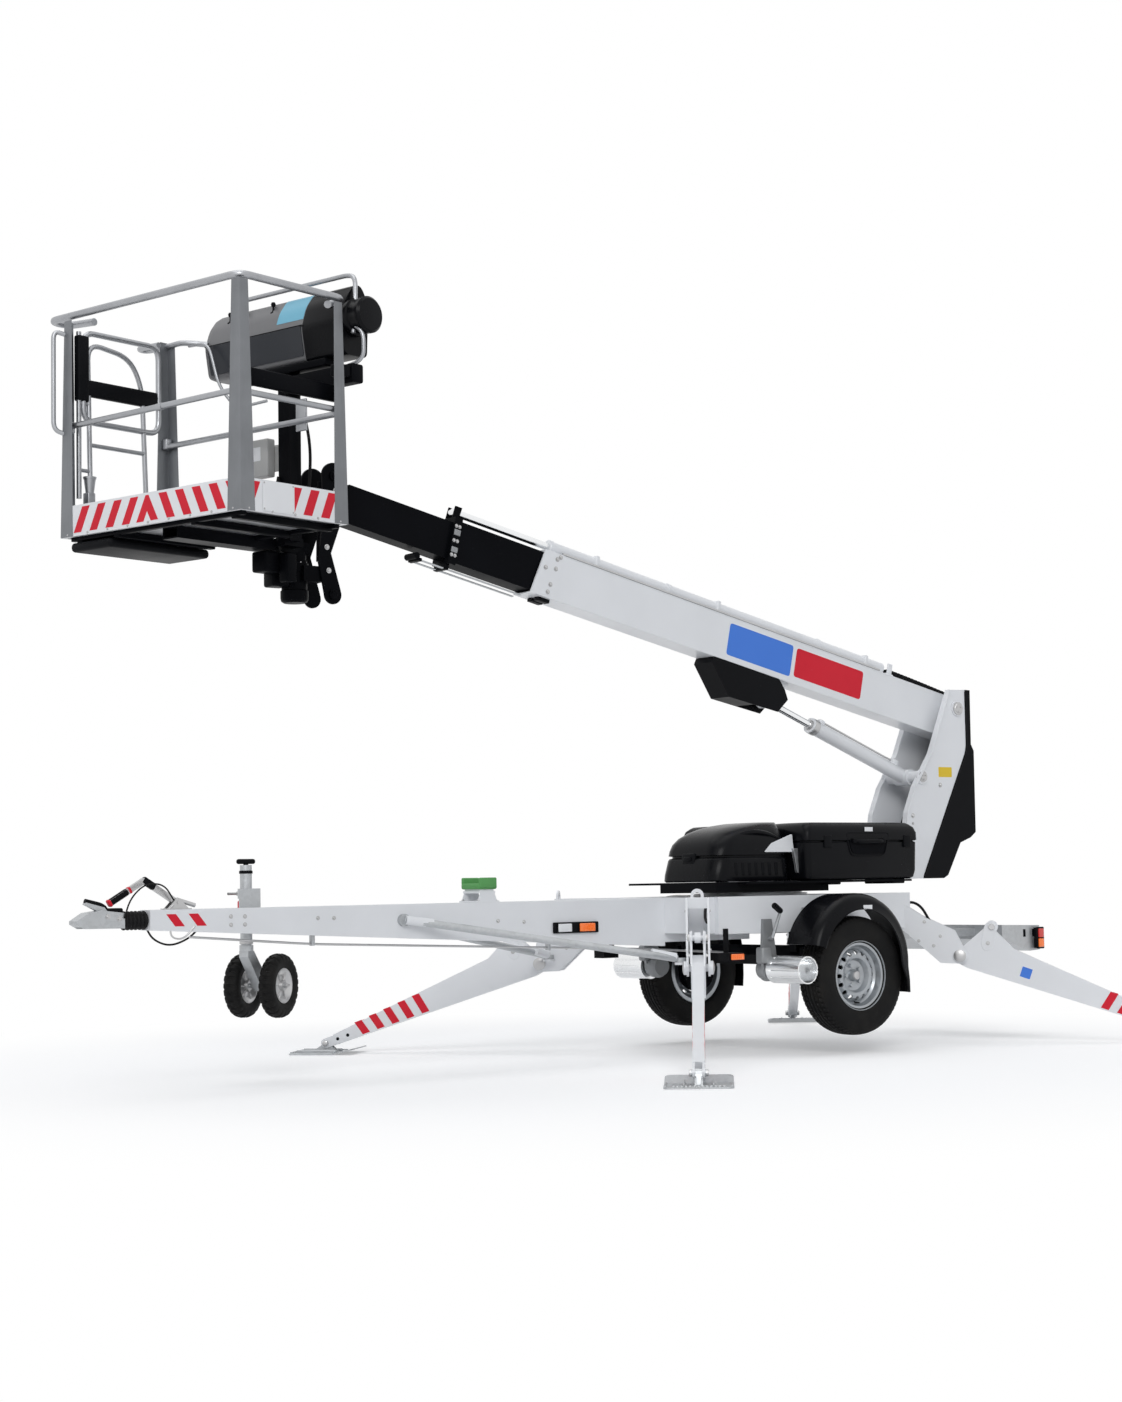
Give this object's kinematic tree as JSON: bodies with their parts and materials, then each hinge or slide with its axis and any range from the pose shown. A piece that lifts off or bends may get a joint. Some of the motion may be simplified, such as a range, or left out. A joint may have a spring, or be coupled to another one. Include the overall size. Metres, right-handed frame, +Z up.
{
  "type": "towable boom lift",
  "caption": "Towable boom lift on outriggers: two-stage telescopic boom on a slewing turret, level work basket, tyres, drive rollers and jockey wheels.",
  "frame": {"origin": "on the ground, under the middle of the bounding box of the machine as it stands on its outriggers", "axes": "+X forwards to the tow coupling, +Y to the machine's left, +Z up"},
  "size_m": [6.4219, 3.8324, 4.0312],
  "materials": {
    "white_paint": "satin",
    "black_paint": "satin",
    "galvanised": "galvanised",
    "black_plastic": "moulded",
    "rubber": "matt",
    "lamp_red": "gloss",
    "grey_cast": "matt",
    "chrome": "polished",
    "aluminium": "satin",
    "board_white": "satin",
    "grey_plastic": "moulded",
    "tyre": "matt",
    "wheel_grey": "satin"
  },
  "bodies": {
    "chassis": {"drawbar": "white_paint", "chassis_frame": "white_paint", "axle_beam": "black_paint", "fenders": "black_plastic", "coupling": "galvanised", "coupling_bellows": "rubber", "handbrake_lever": "galvanised", "jockey_clamp": "galvanised", "brace_rods": "galvanised", "boom_rest": "white_paint", "lamp_carrier": "galvanised", "lamps": "lamp_red", "drive_units": "grey_cast", "jockey_tube": "galvanised"},
    "wheel_left": {"tyre_left": "tyre", "rim_left": "wheel_grey"},
    "wheel_right": {"tyre_right": "tyre", "rim_right": "wheel_grey"},
    "roller_left": {"roller_left": "chrome"},
    "roller_right": {"roller_right": "chrome"},
    "turret": {"turret_frame": "white_paint", "turret_tray": "black_paint", "tower": "white_paint", "tower_cover": "black_plastic", "engine_hood": "black_plastic", "toolbox": "black_plastic", "side_cabinet": "black_plastic"},
    "boom": {"boom_outer": "white_paint", "telescope_barrel": "white_paint", "hose_cover": "black_plastic"},
    "boom_stage_2": {"boom_middle": "black_paint", "telescope_rod": "chrome"},
    "boom_stage_3": {"boom_inner": "black_paint"},
    "lift_barrel": {"lift_barrel": "white_paint"},
    "lift_rod": {"lift_rod": "chrome"},
    "head": {"levelling_head": "black_paint"},
    "basket": {"basket_carrier": "black_paint", "basket_floor": "aluminium", "basket_frame": "aluminium", "toe_boards": "board_white", "control_console": "grey_plastic"},
    "jockey_leg": {"jockey_leg": "galvanised"},
    "jockey_fork": {"jockey_fork": "galvanised"},
    "jockey_wheels": {"jockey_wheels": "tyre"},
    "basket_gate_body": {"basket_gate": "aluminium"},
    "outrigger_front_left": {"outrigger_front_left": "white_paint"},
    "foot_front_left": {"foot_front_left": "galvanised"},
    "outrigger_front_right": {"outrigger_front_right": "white_paint"},
    "foot_front_right": {"foot_front_right": "galvanised"},
    "outrigger_rear_left": {"outrigger_rear_left": "white_paint"},
    "foot_rear_left": {"foot_rear_left": "galvanised"},
    "outrigger_rear_right": {"outrigger_rear_right": "white_paint"},
    "foot_rear_right": {"foot_rear_right": "galvanised"}
  },
  "joints": [
    {"name": "wheel_left_spin", "type": "hinge", "parent": "chassis", "child": "wheel_left", "pos_m": [-1.209, 0.705, 0.431], "axis": [0, 1, 0], "continuous": true},
    {"name": "wheel_right_spin", "type": "hinge", "parent": "chassis", "child": "wheel_right", "pos_m": [-1.209, -0.705, 0.431], "axis": [0, 1, 0], "continuous": true},
    {"name": "roller_left_spin", "type": "hinge", "parent": "chassis", "child": "roller_left", "pos_m": [-0.785, 0.6, 0.476], "axis": [0, 1, 0], "continuous": true},
    {"name": "roller_right_spin", "type": "hinge", "parent": "chassis", "child": "roller_right", "pos_m": [-0.785, -0.6, 0.476], "axis": [0, 1, 0], "continuous": true},
    {"name": "jockey_slide", "type": "slide", "parent": "chassis", "child": "jockey_leg", "axis": [0, 0, 1], "range_m": [-0.32, 0]},
    {"name": "jockey_swivel", "type": "hinge", "parent": "jockey_leg", "child": "jockey_fork", "pos_m": [2.211, -0.1067, 0.69], "axis": [0, 0, 1], "continuous": true},
    {"name": "jockey_spin", "type": "hinge", "parent": "jockey_fork", "child": "jockey_wheels", "pos_m": [2.08243, -0.18395, 0.484], "axis": [-0.515, 0.8572, 0], "continuous": true},
    {"name": "slew", "type": "hinge", "parent": "chassis", "child": "turret", "pos_m": [-1.102, 0, 0.939], "axis": [0, 0, 1], "continuous": true},
    {"name": "boom_lift", "type": "hinge", "parent": "turret", "child": "boom", "pos_m": [-2.739, 0, 2.02], "axis": [0, -1, 0], "range_deg": [-18, 62.4]},
    {"name": "lift_barrel_swing", "type": "hinge", "parent": "turret", "child": "lift_barrel", "pos_m": [-2.409, 0, 1.59], "axis": [0, -1, 0], "range_deg": [-18, 60]},
    {"name": "lift_rod_slide", "type": "slide", "parent": "lift_barrel", "child": "lift_rod", "axis": [0.934, 0, 0.3573], "range_m": [-0.17, 0.56]},
    {"name": "telescope_1", "type": "slide", "parent": "boom", "child": "boom_stage_2", "axis": [0.9759, 0, 0.2181], "range_m": [-0.5, 2.05]},
    {"name": "telescope_2", "type": "slide", "parent": "boom_stage_2", "child": "boom_stage_3", "axis": [0.9759, 0, 0.2181], "range_m": [-0.5, 2.05]},
    {"name": "platform_level", "type": "hinge", "parent": "boom_stage_3", "child": "head", "pos_m": [1.79036, 0, 2.93099], "axis": [0, -1, 0], "range_deg": [-62.4, 18]},
    {"name": "basket_turn", "type": "hinge", "parent": "head", "child": "basket", "pos_m": [1.97636, 0, 2.64299], "axis": [0, 0, 1], "range_deg": [-58, 32]},
    {"name": "gate", "type": "hinge", "parent": "basket", "child": "basket_gate_body", "pos_m": [2.97981, -0.40023, 3], "axis": [0, 0, -1], "range_deg": [0, 90]},
    {"name": "outrigger_front_left", "type": "hinge", "parent": "chassis", "child": "outrigger_front_left", "pos_m": [-0.09, 0.695, 0.512], "axis": [0.7524, -0.6587, 0], "range_deg": [0, 99]},
    {"name": "foot_front_left", "type": "hinge", "parent": "outrigger_front_left", "child": "foot_front_left", "pos_m": [0.76815, 1.67526, 0.06], "axis": [0.7524, -0.6587, 0], "range_deg": [-3, 25]},
    {"name": "outrigger_front_right", "type": "hinge", "parent": "chassis", "child": "outrigger_front_right", "pos_m": [-0.09, -0.695, 0.512], "axis": [-0.7524, -0.6587, 0], "range_deg": [0, 99]},
    {"name": "foot_front_right", "type": "hinge", "parent": "outrigger_front_right", "child": "foot_front_right", "pos_m": [0.76815, -1.67526, 0.06], "axis": [-0.7524, -0.6587, 0], "range_deg": [-3, 25]},
    {"name": "outrigger_rear_left", "type": "hinge", "parent": "chassis", "child": "outrigger_rear_left", "pos_m": [-2.114, 0.695, 0.512], "axis": [0.7524, 0.6587, 0], "range_deg": [0, 99]},
    {"name": "foot_rear_left", "type": "hinge", "parent": "outrigger_rear_left", "child": "foot_rear_left", "pos_m": [-2.97215, 1.67526, 0.06], "axis": [0.7524, 0.6587, 0], "range_deg": [-3, 25]},
    {"name": "outrigger_rear_right", "type": "hinge", "parent": "chassis", "child": "outrigger_rear_right", "pos_m": [-2.114, -0.695, 0.512], "axis": [-0.7524, 0.6587, 0], "range_deg": [0, 99]},
    {"name": "foot_rear_right", "type": "hinge", "parent": "outrigger_rear_right", "child": "foot_rear_right", "pos_m": [-2.97215, -1.67526, 0.06], "axis": [-0.7524, 0.6587, 0], "range_deg": [-3, 25]}
  ],
  "couplings": [
    {"joint": "lift_barrel_swing", "follows": "boom_lift", "ratio": 0.925},
    {"joint": "lift_rod_slide", "follows": "boom_lift", "m_per_rad": 0.5},
    {"joint": "telescope_2", "follows": "telescope_1", "ratio": 1},
    {"joint": "platform_level", "follows": "boom_lift", "ratio": -1}
  ]
}
